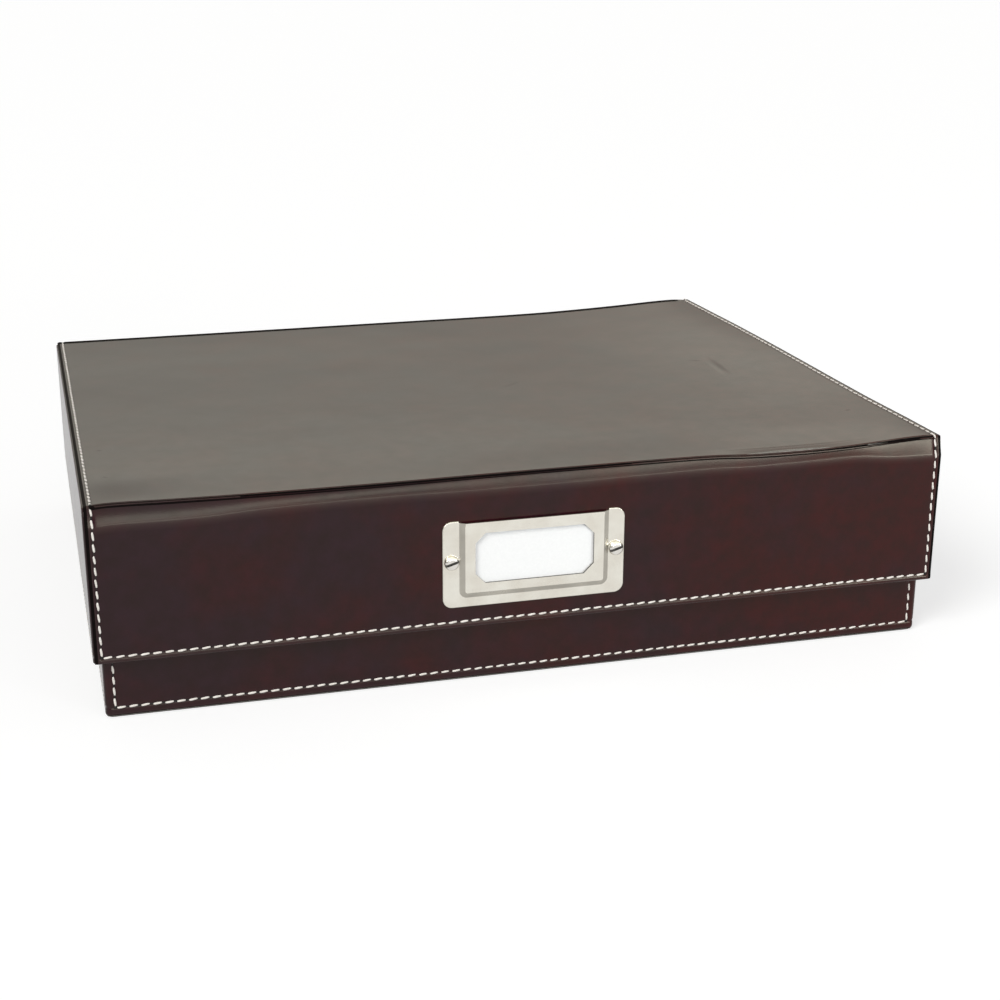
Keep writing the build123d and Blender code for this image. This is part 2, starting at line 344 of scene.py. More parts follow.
# Recycled greyboard: pulp pressed flat, warm grey with darker flecks
greyboard = speckled("greyboard", {
    "colour": "#8f8b84", "fleck": "#6d6963", "grainMm": 1.2, "relief": 0.3, "reliefMm": 0.03,
    "roughness": 0.85, "ior": 1.5})
# Uncoated index card: bleached pulp, flat and very white
indexCard = speckled("indexCard", {
    "colour": "#f4f4f2", "fleck": "#f0f0ee", "grainMm": 0.9, "relief": 0.1, "reliefMm": 0.02,
    "roughness": 0.65, "ior": 1.5})
plateLook = {
    "colour": "#dfdcd2", "cloud": "#d1ccc1", "cloudMm": 12, "grainMm": 0.5, "grainDepthMm": 0.006,
    "roughness": (0.18, 0.28)}
plateNickel = satinNickel("satinNickel", plateLook)
# Painted shade: a darker, duller copy of the plate for the bends round the pocket
shadedNickel = satinNickel("shadedNickel", {
    **plateLook, "colour": "#afaba1", "cloud": "#a19d94", "roughness": (0.26, 0.36)})
# The same plate on turned screws, which come off the lathe smoother and brighter
screwNickel = satinNickel("turnedNickel", {
    "colour": "#d9d6d0", "cloud": "#cfcbc4", "cloudMm": 3, "grainMm": 0.5, "grainDepthMm": 0.003,
    "roughness": (0.17, 0.27)})
# Painted shade: plate in the screws' slots and at the window's cut edge, dark and dull
slotShade = speckled("slotShade", {
    "colour": "#4b4742", "fleck": "#2f2c29", "grainMm": 0.4, "relief": 0.3, "reliefMm": 0.02,
    "roughness": 0.6, "ior": 1.5})
print("materials made")


# Sheets of covering and paper

def gridPiece(name, columns, rows, place, outward, materials, closed=False):
    # A grid of points: place(i, j) gives a point in millimetres, its wear and its paint, which is edge
    # paint at cuts and painted shade on some faces
    bm = bmesh.new()
    wearOf = bm.verts.layers.float.new("wear")
    paintOf = bm.verts.layers.float.new("paint")
    grid = []
    for i in range(columns):
        line = []
        for j in range(rows):
            point, wear, paint = place(i, j)
            vertex = bm.verts.new(Vector(point) * mm)
            vertex[wearOf] = wear
            vertex[paintOf] = paint
            line.append(vertex)
        grid.append(line)
    last = columns if closed else columns - 1
    for i in range(last):
        here, there = grid[i], grid[(i + 1) % columns]
        for j in range(rows - 1):
            corners = (here[j], there[j], there[j + 1], here[j + 1])
            face = bm.faces.new(corners)
            face.smooth = True
            if all(vertex[paintOf] > 0.5 for vertex in corners):
                face.material_index = len(materials) - 1
    bm.faces.ensure_lookup_table()
    middle = bm.faces[(last // 2) * (rows - 1) + (rows - 1) // 2]
    middle.normal_update()
    if middle.normal.dot(Vector(outward)) < 0:
        bmesh.ops.reverse_faces(bm, faces=bm.faces[:])
    for edge in bm.edges:
        if edge.is_boundary:
            edge.smooth = False
    return meshObject(name, bm, materials)


def layOn(piece, thickness, node, body):
    # The sheet gets its thickness, takes its solid's place and moves with its body
    modifier = piece.modifiers.new("thickness", "SOLIDIFY")
    modifier.thickness = thickness * mm
    modifier.offset = -1
    modifier.use_quality_normals = True
    modifier.material_offset = 1  # the inner face takes the backing
    modifier.material_offset_rim = 2  # the cut takes the edge paint
    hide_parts(node)
    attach(piece, body)


def spread(low, high, step, rows=()):
    # Places from low to high about a step apart, with closer ones around each seam row
    around = (0, 0.25, 0.5, 0.8, 1.2, 2.0)
    least = 0.2
    count = max(2, round((high - low) / step))
    places = [low + (high - low) * k / count for k in range(count + 1)]
    for row in rows:
        if low < row < high:
            for offset in around:
                places += [row - offset, row + offset]
    places = sorted(v for v in places if low <= v <= high)
    kept = [places[0]]
    for value in places[1:]:
        if value - kept[-1] > least:
            kept.append(value)
    kept[-1] = high
    return kept


# How the top has warped: its height above the CAD's flat top along the front and back edges
topShape = {
    "front": [(-178, 0.55), (-168, 1.15), (-145, 0.75), (-120, 0.4), (-64, 0.2), (0, 0.45),
              (60, 0.4), (100, -0.15), (130, -0.1), (150, 0.4), (168, 1.15), (178, 0.9)],
    "back": [(-178, -0.35), (-150, -0.45), (0, -0.45), (59, -0.45), (94, 0.0), (130, 1.3),
             (160, 2.8), (178, 3.1)],
    "flat": [(-178, 0.2), (90, 0.2), (178, 1.2)],  # behind the front edge, before the back's
    "frontReach": 35,  # how far behind the front edge its shape has died away
    "passLow": -95,  # from here to passHigh the flat gives way to the back edge's shape
    "passHigh": 80,
    "sideFade": (3, 30),  # distances down the sides over which their sheets stop following it
}


def riseAt(x, y):
    flat, front, back = (between(topShape[key], x)[0] for key in ("flat", "front", "back"))
    half = lid["halfDepth"]
    front = flat + (front - flat) * smooth(topShape["frontReach"] - half, -half, y)
    share = smooth(topShape["passLow"], topShape["passHigh"], y)
    return front * (1 - share) + back * share


# Lid wrap: one sheet up the back, over the top and down the front
wrap = {
    "edgeInset": 0.7,  # its cut side edges lie this far inside the lid's sides
    "edgeRoll": 0.4,  # how far the cut edges bend down
    "edgeRollWidth": 1.3,
    "edgeBand": 1.4,  # edge paint that has run onto the face, and painted shade for the dark line along the cut edges
    "rollIn": (-3, -0.8),  # places before the face, and below the top, where the bend sets in
    "rollDown": (-4, -1),
    "edgeWear": (0.35, 1.2, 0.5),  # size, middle and width, as in the other rises
    "edgeColumns": (0, 0.22, 0.45, 0.8, 1.3, 1.7, 2.0, 2.3, 2.6, 2.9, 3.3, 4.0, 5.2, 7, 9.5),
    "columnStep": 3.3,
    "waves": 0.13,
    "waveLength": 70,
    "waveSeed": 3,
    "fineShare": 0.35,  # smaller waves over those, and their share of the height
    "fineLength": 22,
    "fineSeed": 8,
    "topSteps": 40,
    "topCrowding": 1.12,  # above 1, the steps get closer towards the edge
    "foldSteps": 14,
    "faceSteps": 13,
    "grooveWidth": 0.7,
    "grooveDepth": 1.25,
    "grooveLeast": 0.45,  # where the fold starts low, it is still this much deeper than that
    # Across the groove: share of its width, and share of its depth there
    "grooveShape": ((0.05, 0.3), (0.12, 0.7), (0.22, 0.95), (0.4, 1), (0.6, 1), (0.78, 0.9),
                    (0.9, 0.6), (1, 0)),
    "grooveFade": (-1.0, 1.6),  # it dies away under the seam at each side
    "blackLip": [(-120, 40), (118, 170)],  # there the groove's black, painted shade, runs over its front lip too
    "hemPuff": (0.14, 1.4, 0.8),  # how the covering swells just above the hem's round
    "puffReach": (0.5, 4),  # inwards and upwards
    "hemSeamEnd": 0.6,  # the hem's seam pulls this far past the side's
    "marginFade": (1, 2.7),  # heights over which the side's seam dies away towards the hem
    "calmBelow": 5,  # the waves die away from this height down
    "turnInWaves": 0.15,
    "hemWear": 0.3,
    "footWear": (0.2, 1.2, 0.7),
    "rub": 0.12,  # lighter wear from rubHeight down
    "rubHeight": 2.5,
    "foldWear": 0.35,
    "foldWorn": 3,  # steps at the fold's foot
    # Rows up the front and back from the hem's round, closer around its seam
    "lowRows": (14, 12, 10, 8, 6.5, 5.2, 4.4, 3.8, 3.4, 3.1, 2.9, 2.7, 2.5, 2.3, 2.0, 1.6, 1.2),
    "dipReach": 4.5,  # the front edge of the top sinks from a fine crease this far behind it
    "dipRows": (-0.25, 0, 0.25, 0.5, 1.0, 1.8, 2.7, 3.5, 4.1, 4.5),
    "dipCrease": (0.2, 0, 0.25),  # its depth is a share of the dip
    "dip": [(60, 0.0), (76, 0.1), (92, 0.7), (120, 0.7), (142, 0.25), (156, 0.0)],
    "backPaint": 5.0,  # painted shade: the sheet's back edge is black along the fold, and stands up a little
    "backRidge": 0.45,
    "ridgeRise": (-1.0, -0.2),  # before the end of the top
    "backEnd": (166.5, 174.5),  # where that dies away at the right
    # Along each fold from left to right: place, height of the fold, how round it is, how far its
    # top is set back, and how far it starts below the top sheet
    "frontFold": [
        (-178, 8.4, 2.0, 1.1, 0.35), (-171, 8.5, 2.0, 1.15, 0.4), (-133, 7.8, 2.0, 1.1, 0.45),
        (-110, 6.3, 1.9, 0.95, 0.55), (-63, 5.4, 1.7, 0.95, 0.7), (-23, 6.0, 1.4, 1.15, 0.75),
        (27, 6.0, 1.3, 1.2, 0.65), (80, 5.0, 1.25, 1.2, 0.4), (105, 4.4, 1.2, 1.1, 0.4),
        (137, 4.4, 1.2, 1.15, 0.7), (158, 7.4, 1.2, 1.85, 0.9), (178, 8.4, 1.2, 1.95, 0.8)],
    "backFold": [(-178, 7.4, 2.2, 0.9, 0.3), (-90, 7.0, 1.8, 1.0, 0.3), (60, 6.2, 1.6, 1.0, 0.3),
                 (178, 7.6, 1.8, 1.4, 0.3)],
}
wrapHalf = lid["halfWidth"] - wrap["edgeInset"]
lidRow = lid["halfWidth"] - seam["lidMargin"]
lidHemRow = lid["low"] + seam["lidHem"]


def hemProfile(half, low):
    # Round the lower edge and up the inside to the end of the turn-in
    r = sheetCut["hemRound"]
    inner = half - sheetCut["wall"]
    wear = wrap["hemWear"]
    points = []
    for a in quarter[1:]:
        points.append((half - r + r * math.cos(a), low + r - r * math.sin(a), 0, 0, wear, 0))
    for a in quarter[1:]:
        points.append((inner + r - r * math.sin(a), low + r - r * math.cos(a), 0, 0, wear, 0))
    rows = sheetCut["turnInRows"]
    for k in range(1, rows + 1):
        up = low + r + (sheetCut["turnIn"] - r) * k / rows
        points.append((inner, up, wrap["turnInWaves"] * smooth(0, rows, k), 0, 0, 0))
    return points


def wrapProfile(x, side, grooves):
    # From the middle of the top out to the end of the turn-in: distance out, height, share of
    # waviness, share of margin seam, wear, paint (edge paint and painted shade)
    height, power, setBack, lip = between(wrap[side + "Fold"], x)
    front = side == "front"
    sign = -1 if front else 1
    half, low = lid["halfDepth"], lid["low"]
    topEnd = half - setBack - wrap["grooveWidth"]
    dipStart = topEnd - wrap["dipReach"]
    dip = between(wrap["dip"], x)[0] if front and wrap["dip"][0][0] < x < wrap["dip"][-1][0] else 0
    backEdgeShare = 0 if front else 1 - smooth(*wrap["backEnd"], x)
    isBackShaded = backEdgeShare > 0.3  # the painted shade ends a little before the ridge has died away

    def topAt(out):
        sink = dip * max(0, out - dipStart) / wrap["dipReach"]
        ridge = backEdgeShare * smooth(*wrap["ridgeRise"], out - topEnd)
        crease = dip * swell(wrap["dipCrease"], out - dipStart)
        return lid["top"] + riseAt(x, sign * out) - sink - crease + wrap["backRidge"] * ridge

    # Painted shade: the black strip along the back edge begins backPaint from the edge
    painted = half - wrap["backPaint"] if isBackShaded else half
    steps = wrap["topSteps"]
    outs = [dipStart * (1 - (1 - k / steps) ** wrap["topCrowding"]) for k in range(steps)]
    outs += [dipStart + v for v in wrap["dipRows"]]
    points = [(out, topAt(out), 1, 1, 0, float(out > painted)) for out in outs]

    # The groove where the top ends and the fold starts, its faces black with painted shade
    fadeFrom, fadeTo = (lidRow + v for v in wrap["grooveFade"])
    dug = 1 - smooth(fadeFrom, fadeTo, abs(x)) if grooves and front else 0
    isDug = dug > 0.5
    depth = max(wrap["grooveDepth"], lip + wrap["grooveLeast"])
    foldTop = topAt(topEnd)
    for u, share in wrap["grooveShape"]:
        rounded = lip * u * u
        drop = rounded + (max(depth, rounded) - rounded) * share * dug
        points.append((topEnd + u * wrap["grooveWidth"], foldTop - drop, 0.5, 1, 0,
                       float(isDug or isBackShaded)))

    # The fold, worn at its foot, and the face below it
    # Painted shade: the black runs over the fold's first step in the blackLip spans and along the back
    overLip = isDug and any(start < x < end for start, end in wrap["blackLip"])
    steps = wrap["foldSteps"]
    for k in range(1, steps + 1):
        t = k / steps
        out = half - setBack * (1 - t ** power)
        wear = wrap["foldWear"] * (k > steps - wrap["foldWorn"])
        points.append((out, foldTop - lip - (height - lip) * t, 1, 1, wear,
                       float(k < 2 and (isBackShaded or overLip))))
    faceTop = foldTop - height
    faceLow = low + wrap["lowRows"][0]
    steps = wrap["faceSteps"]
    for k in range(1, steps + 1):
        points.append((half, faceTop + (faceLow - faceTop) * k / steps, 1, 1, 0, 0))
    hemRound = sheetCut["hemRound"]
    for up in wrap["lowRows"][1:] + (hemRound,):
        wear = wrap["rub"] * (up < wrap["rubHeight"]) + swell(wrap["footWear"], up)
        waviness = smooth(hemRound, wrap["calmBelow"], up)
        points.append((half, low + up, waviness, smooth(*wrap["marginFade"], up), wear, 0))
    return points + hemProfile(half, low)


def profileNormal(profile, k, reach=0.8):
    # Taken over a short stretch each way, so the sharp edges of the groove don't turn it
    ends = []
    for way in (-1, 1):
        n = k
        run = 0
        while 0 <= n + way < len(profile) and run < reach:
            run += math.dist(profile[n][:2], profile[n + way][:2])
            n += way
        ends.append(profile[n])
    direction = Vector((ends[1][0] - ends[0][0], ends[1][1] - ends[0][1])).normalized()
    return Vector((-direction.y, direction.x))


def wrapColumn(x, side, grooves):
    # The profile moved along its normals by waves, seam grooves and the hem's puff, and its
    # outermost points bent in and down at the cut edges
    profile = wrapProfile(x, side, grooves)
    sign = -1 if side == "front" else 1
    puffIn, puffUp = wrap["puffReach"]
    column = []
    for k, (out, up, waviness, margin, wear, painted) in enumerate(profile):
        normal = profileNormal(profile, k)
        wave = ripple(x, sign * out, up, wrap["waveLength"], wrap["waveSeed"])
        fine = ripple(x, sign * out, up, wrap["fineLength"], wrap["fineSeed"])
        shift = waviness * wrap["waves"] * (wave + wrap["fineShare"] * fine)
        if grooves:
            shift -= margin * seamGroove(abs(x) - lidRow)
            if margin and abs(x) < lidRow + wrap["hemSeamEnd"]:
                shift -= seamGroove(up - lidHemRow)
        if out > lid["halfDepth"] - puffIn and up < lid["low"] + puffUp:
            shift += swell(wrap["hemPuff"], up - lid["low"])
        roll = max(0, abs(x) - wrapHalf + wrap["edgeRollWidth"]) / wrap["edgeRollWidth"]
        roll = wrap["edgeRoll"] * roll * roll
        rollIn = roll * smooth(*wrap["rollIn"], out - lid["halfDepth"])
        rollDown = roll * smooth(*wrap["rollDown"], up - lid["top"])
        # Edge paint and painted shade: a black band on the face along the cut side edges
        paint = 1.0 if abs(x) > wrapHalf - wrap["edgeBand"] else painted
        wear = max(wear, swell(wrap["edgeWear"], wrapHalf - abs(x)))
        point = (x, sign * (out + shift * normal.x - rollIn), up + shift * normal.y - rollDown)
        column.append((point, wear, paint, (0, sign * normal.x, normal.y)))
    return column


def wholeColumn(x, grooves=True):
    # From the turn-in at the back over the top to the one in front
    return wrapColumn(x, "back", grooves)[::-1] + wrapColumn(x, "front", grooves)[1:]


def wrapPlaces():
    # Columns from left to right, closer where the cut edge bends and its seam runs
    right = [wrapHalf - v for v in wrap["edgeColumns"]]
    inside = spread(-right[-1], right[-1], wrap["columnStep"])[1:-1]
    return sorted([-v for v in right] + inside + right)


wrapColumns = [wholeColumn(x) for x in wrapPlaces()]
lidWrap = gridPiece(
    "lid_wrap_sheet", len(wrapColumns), len(wrapColumns[0]),
    lambda i, j: wrapColumns[i][j][:3], (0, 0, 1), [covering, backing, blackEdgeAndShade])
layOn(lidWrap, sheetCut["thickness"], "lid_wrap_cover", "lid")
print("lid wrap:", len(lidWrap.data.polygons), "faces")


# Wall coverings: a flange under the neighbouring sheet, the face, a roll over the free edge and
# a turn-in on the inside. Distances run from the flange to the free edge.
facing = {"front": (0, -1, 0), "back": (0, 1, 0), "left": (-1, 0, 0), "right": (1, 0, 0)}
wallShape = {
    "upStep": 4.0, "alongStep": 4.5, "waveLength": 60, "leastRadius": 0.05,
    "seamEnd": 0.5,  # an upright seam dies away this far past the rows it joins
    "foldWear": 0.15, "rimWear": 0.6, "rimInnerWear": 0.4,
}


def wallProfile(length, fold, rows):
    # Distance out from the face, distance along, share of waviness, wear
    r = sheetCut["hemRound"]
    inner = -sheetCut["wall"]
    points = [(-sheetCut["flange"], 0, 0, 0), (-fold - sheetCut["flangeFlat"], 0, 0, 0)]
    wear = wallShape["foldWear"]
    for a in quarter:
        points.append((-fold + fold * math.sin(a), fold - fold * math.cos(a), 0, wear))
    for along in spread(fold, length - r, wallShape["upStep"], rows)[1:]:
        points.append((0, along, 1, 0))
    wear = wallShape["rimWear"]
    for a in quarter[1:]:
        points.append((-r + r * math.cos(a), length - r + r * math.sin(a), 0, wear))
    wear = wallShape["rimInnerWear"]
    for a in quarter:
        points.append((inner + r - r * math.sin(a), length - r + r * math.cos(a), 0, wear))
    count = sheetCut["turnInRows"]
    for k in range(1, count + 1):
        points.append((inner, length - r - (sheetCut["turnIn"] - r) * k / count, 0, 0))
    return points


def wallStations(look, run):
    # Along the wall: the end that a place counts from, how far from it, and its turn round the
    # corner. Between the ends, its share of the middle stretch.
    middle = run - look["edge"][-1]
    inside = spread(-middle, middle, wallShape["alongStep"])[1:-1]
    stations = [(-1, 0, a) for a in reversed(look["angles"])]
    stations += [(-1, v, None) for v in look["edge"]]
    stations += [(0, v / middle, None) for v in inside]
    stations += [(1, v, None) for v in reversed(look["edge"])]
    return stations + [(1, 0, a) for a in look["angles"]]


def wallPoint(look, side, half, run, station, profilePoint):
    out, along, waviness, wear = profilePoint
    end, value, angle = station
    depth = -out
    reach = run - look["tuck"] - look["mitre"] * depth
    up = look["start"] + look["way"] * along
    if look["follow"]:
        # The top edge follows the warped top, and the ends follow the fold over it
        lift, setBack = look["follow"](side, (end or value) * run, up, along)
        up += lift
        reach -= setBack
    radius = max(wallShape["leastRadius"], look["corner"] * (1 - depth / sheetCut["wall"]))
    drop = 0
    if angle is not None:
        a = math.radians(angle)
        across = end * (reach - radius + radius * math.sin(a))
        drop = radius * (1 - math.cos(a))
    elif end:
        across = end * (reach - max(value, radius))
    else:
        across = value * (reach - look["edge"][-1])
    shift = waviness * look["waves"] * ripple(
        across, half, up, wallShape["waveLength"], look["seed"])
    if waviness:
        shift -= sum(seamGroove(along - row) for row in look["rows"])
        if look["column"]:
            low, high = look["rows"]
            fade = wallShape["seamEnd"]
            inSpan = smooth(low - fade, low, along) * (1 - smooth(high, high + fade, along))
            shift -= inSpan * seamGroove(abs(across) - look["column"])
    away = half + out - drop + shift
    wayX, wayY = facing[side][:2]
    point = (wayX * away + abs(wayY) * across, wayY * away + abs(wayX) * across, up)
    # Edge paint at the cut ends; the foot's fold below footPaint is black as painted shade under the
    # box
    isCutEnd = look["painted"] and angle == look["angles"][-1]
    return point, wear, float(isCutEnd or along < look["footPaint"])


def wallSheet(side, body, look):
    half, run = look["halfWidth"], look["halfDepth"]
    if side in ("front", "back"):
        half, run = run, half
    profile = wallProfile(look["length"], look["fold"], look["rows"])
    stations = wallStations(look, run)
    piece = gridPiece(
        f"{body}_{side}_sheet", len(stations), len(profile),
        lambda i, j: wallPoint(look, side, half, run, stations[i], profile[j]),
        facing[side], [covering, backing, blackEdgeAndShade])
    layOn(piece, sheetCut["thickness"], f"{body}_{side}_cover", body)


def lidFollow(side, y, up, along):
    x = facing[side][0] * lid["halfWidth"]
    lift = riseAt(x, y) * (1 - smooth(*topShape["sideFade"], along))
    height, power, setBack, lip = between(wrap["frontFold" if y < 0 else "backFold"], x)
    foldTop = lid["top"] + riseAt(x, math.copysign(lid["halfDepth"] - 2, y)) - lip
    t = min(1, max(0, (foldTop - up - lift) / (height - lip)))
    return lift, setBack * (1 - t ** power)


lidSide = {
    "halfWidth": lid["halfWidth"], "halfDepth": lid["halfDepth"],
    "start": lid["top"] - sheetCut["thickness"], "way": -1,
    "length": lid["top"] - sheetCut["thickness"] - lid["low"],
    "fold": 0.7, "corner": 1.6, "tuck": sheetCut["thickness"], "mitre": 0.8,
    "angles": (10, 25, 40, 55, 70, 90), "edge": (1.6, 2.2, 3.2, 5, 8, 12),
    "rows": [lid["top"] - sheetCut["thickness"] - lidHemRow], "column": None,
    "waves": 0.09, "seed": 21, "follow": lidFollow, "painted": False, "footPaint": 0,
}
for side in ("left", "right"):
    wallSheet(side, "lid", lidSide)

baseLength = base["rim"] - base["low"]
baseHemRow = seam["baseHem"] - base["low"]
baseRimRow = baseLength - seam["rimMargin"]
baseWall = {
    "halfWidth": base["halfWidth"], "halfDepth": base["halfDepth"],
    "start": base["low"], "way": 1, "length": baseLength,
    "fold": 1.3, "corner": 2.2, "tuck": 0.06, "mitre": 1.0,
    "angles": (9, 18, 27, 36, 45), "edge": (2.3, 2.6, 2.9, 3.2, 3.5, 3.8, 4.1, 4.5, 5.5, 8, 12),
    "rows": [baseHemRow, baseRimRow], "column": None,
    "waves": 0.07, "seed": 31, "follow": None, "painted": True, "footPaint": 0.85,
}
# The long walls also have a seam up each end, between the two rows
baseLongWall = dict(baseWall, column=base["halfWidth"] - seam["baseMargin"], waves=0.12)
for side in ("front", "back"):
    wallSheet(side, "base", baseLongWall)
for side in ("left", "right"):
    wallSheet(side, "base", baseWall)
print("wall coverings made")


# Base: the sheet under the box, cut a little inside the walls, in rings from its edge inwards
underside = {
    "inset": 1.2, "corner": 1.6, "leastCorner": 0.3, "rings": (0, 0.3, 0.8, 2, 6, 16, 40, 80, 120),
    "waves": 0.05, "waveLength": 50, "seed": 41, "waveReach": (2, 16),
    "edgeRise": 0.12, "edgeRings": 2, "edgeWear": 0.3,
}


def roundedLoop(halfWidth, halfDepth, corner, steps=5, along=24):
    # Points round a rectangle with rounded corners, with extra points along the straights
    arcs = []
    for sx, sy, start in ((1, 1, 0), (-1, 1, 90), (-1, -1, 180), (1, -1, 270)):
        cx, cy = sx * (halfWidth - corner), sy * (halfDepth - corner)
        turns = [math.radians(start + 90 * s / steps) for s in range(steps + 1)]
        arcs.append([(cx + corner * math.cos(a), cy + corner * math.sin(a)) for a in turns])
    loop = []
    for arc, following in zip(arcs, arcs[1:] + arcs[:1]):
        (ax, ay), (bx, by) = arc[-1], following[0]
        loop += arc
        for s in range(1, along):
            loop.append((ax + (bx - ax) * s / along, ay + (by - ay) * s / along))
    return loop


undersideX, undersideY = (base[key] - underside["inset"] for key in ("halfWidth", "halfDepth"))
undersideLoops = [
    roundedLoop(undersideX - v, undersideY - v, max(underside["leastCorner"], underside["corner"] - v))
    for v in underside["rings"]]


def undersidePoint(i, j):
    x, y = undersideLoops[j][i]
    wave = 0.5 + 0.5 * ripple(x, y, 0, underside["waveLength"], underside["seed"])
    up = underside["waves"] * wave * smooth(*underside["waveReach"], underside["rings"][j])
    if j == 0:
        up += underside["edgeRise"]
    # The outer rings are black: edge paint at the cut, and painted shade under the box's foot
    isEdge = j < underside["edgeRings"]
    return (x, y, up), underside["edgeWear"] * isEdge, float(isEdge)


bottomSheet = gridPiece(
    "base_bottom_sheet", len(undersideLoops[0]), len(underside["rings"]), undersidePoint,
    (0, 0, -1), [covering, backing, blackEdgeAndShade], closed=True)
# The middle, inside the last ring, is one face
bm = bmesh.new()
bm.from_mesh(bottomSheet.data)
ringCount = len(underside["rings"])
lastRing = [e for e in bm.edges if all((v.index + 1) % ringCount == 0 for v in e.verts)]
bmesh.ops.holes_fill(bm, edges=lastRing, sides=0)
bm.to_mesh(bottomSheet.data)
bm.free()
layOn(bottomSheet, sheetCut["thickness"] - underside["waves"], "base_bottom_cover",
      "base")


# Linings: paper bands round the walls and paper sheets on the floor and ceiling
lining = {
    "corner": 1.2, "step": 9,
    "waves": 0.06, "bandWaveLength": 45, "bandSeed": 51, "sheetWaveLength": 50, "sheetSeed": 61,
    "room": 0.05,  # the sheets are this much thinner, so their waves stay inside the solid
}
paperFaces = [liningPaper] * 3


def paperBand(body, sheet):
    # Round the outline of the sheet on the floor or ceiling, facing into the box
    outline = boxOf(f"{body}_{sheet}_lining")[1][:2]
    halfWidth, halfDepth = (v - sheetCut["paperThickness"] for v in outline)
    loop = roundedLoop(halfWidth, halfDepth, lining["corner"], steps=4, along=40)
    low, high = boxOf(f"{body}_wall_lining")
    heights = spread(low[2], high[2], lining["step"])

    def place(i, j):
        x, y = loop[i]
        wave = lining["waves"] * ripple(
            x, y, heights[j], lining["bandWaveLength"], lining["bandSeed"])
        if abs(x) > halfWidth - 0.2:
            x -= math.copysign(wave, x)
        else:
            y -= math.copysign(wave, y)
        return (x, y, heights[j]), 0, 0

    piece = gridPiece(
        f"{body}_wall_paper", len(loop), len(heights), place, (1, 0, 0), paperFaces, closed=True)
    layOn(piece, sheetCut["paperThickness"], f"{body}_wall_lining", body)


def paperSheet(body, sheet, way):
    node = f"{body}_{sheet}_lining"
    low, high = boxOf(node)
    face = (high if way > 0 else low)[2]
    places = spread(low[0], high[0], lining["step"])
    lines = spread(low[1], high[1], lining["step"])

    def place(i, j):
        wave = lining["waves"] * ripple(
            places[i], lines[j], 0, lining["sheetWaveLength"], lining["sheetSeed"])
        return (places[i], lines[j], face - way * lining["room"] + wave * 0.5), 0, 0

    piece = gridPiece(
        f"{body}_{sheet}_paper", len(places), len(lines), place, (0, 0, way), paperFaces)
    layOn(piece, sheetCut["paperThickness"] - lining["room"], node, body)


for body, sheet, way in (("lid", "ceiling", -1), ("base", "floor", 1)):
    paperBand(body, sheet)
    paperSheet(body, sheet, way)
print("linings made")


# Stitching: separate lockstitches, each a short length of thread that dives into two holes
chance = random.Random(seam["seed"])


def play(name):
    return chance.uniform(-seam[name], seam[name])


def alongPath(points, normals):
    # Middles of stitches along a path: place, direction and outward normal of each
    lengths = [0.0]
    for a, b in zip(points, points[1:]):
        lengths.append(lengths[-1] + (b - a).length)
    count = max(1, round(lengths[-1] / seam["pitch"]))
    step = lengths[-1] / count
    found = []

    def at(distance):
        k = 0
        while k < len(points) - 2 and lengths[k + 1] < distance:
            k += 1
        span = max(1e-6, lengths[k + 1] - lengths[k])
        t = min(1, max(0, (distance - lengths[k]) / span))
        return points[k].lerp(points[k + 1], t), normals[k].lerp(normals[k + 1], t).normalized()

    for k in range(count):
        middle, normal = at((k + 0.5) * step)
        start = at(k * step + seam["endGap"])[0]
        end = at((k + 1) * step - seam["endGap"])[0]
        found.append((middle, (end - start).normalized(), normal, step))
    return found


def addStitch(bm, middle, direction, normal, step):
    lean = math.radians(seam["lean"] + play("leanPlay"))
    direction = Matrix.Rotation(lean, 3, normal) @ direction
    across = normal.cross(direction).normalized()
    normal = direction.cross(across).normalized()
    middle = middle + across * play("sidePlay")
    half = (seam["length"] / seam["pitch"] * step + play("lengthPlay")) / 2
    width = seam["width"] / 2 * (1 + play("widthPlay"))
    rings = []
    for s in seam["stations"]:
        height = -seam["sunk"] - seam["dive"] * abs(s) ** 7
        narrow = 1 - seam["thinning"] * abs(s) ** 6
        # The needle's hole between two stitches, a flat dark lens of painted shade
        ring = []
        for k in range(seam["sides"]):
            a = 2 * math.pi * k / seam["sides"]
            ply = 1 + seam["ply"] * math.cos(2 * (a - seam["plyTurn"] * s))
            place = middle + direction * (s * half) + across * (math.cos(a) * width * narrow * ply)
            place += normal * (height + math.sin(a) * seam["halfHeight"] * narrow * ply)
            ring.append(bm.verts.new(place * mm))
        rings.append(ring)
    for a, b in zip(rings, rings[1:]):
        for k in range(seam["sides"]):
            n = (k + 1) % seam["sides"]
            bm.faces.new((a[k], a[n], b[n], b[k])).smooth = True
    bm.faces.new(list(reversed(rings[0])))
    bm.faces.new(rings[-1])


def addHole(bm, middle, direction, normal):
    across = normal.cross(direction).normalized()
    ring = []
    for k in range(hole["sides"]):
        a = 2 * math.pi * k / hole["sides"]
        place = middle + direction * (hole["halfLength"] * math.cos(a))
        place += across * (hole["halfWidth"] * math.sin(a))
        ring.append(bm.verts.new((place - normal * (seam["groove"] + hole["rim"])) * mm))
    top = bm.verts.new((middle - normal * (seam["groove"] - hole["crown"])) * mm)
    low = bm.verts.new((middle - normal * (seam["groove"] + hole["depth"])) * mm)
    for a, b in zip(ring, ring[1:] + ring[:1]):
        face = bm.faces.new((a, b, top))
        face.material_index = 1
        face.smooth = True
        bm.faces.new((b, a, low)).material_index = 1


def seamRow(bm, points, normals):
    stitches = alongPath(points, normals)
    for middle, direction, normal, step in stitches:
        addStitch(bm, middle, direction, normal, step)
        addHole(bm, middle - direction * (step / 2), direction, normal)
    middle, direction, normal, step = stitches[-1]
    addHole(bm, middle + direction * (step / 2), direction, normal)
    return len(stitches)


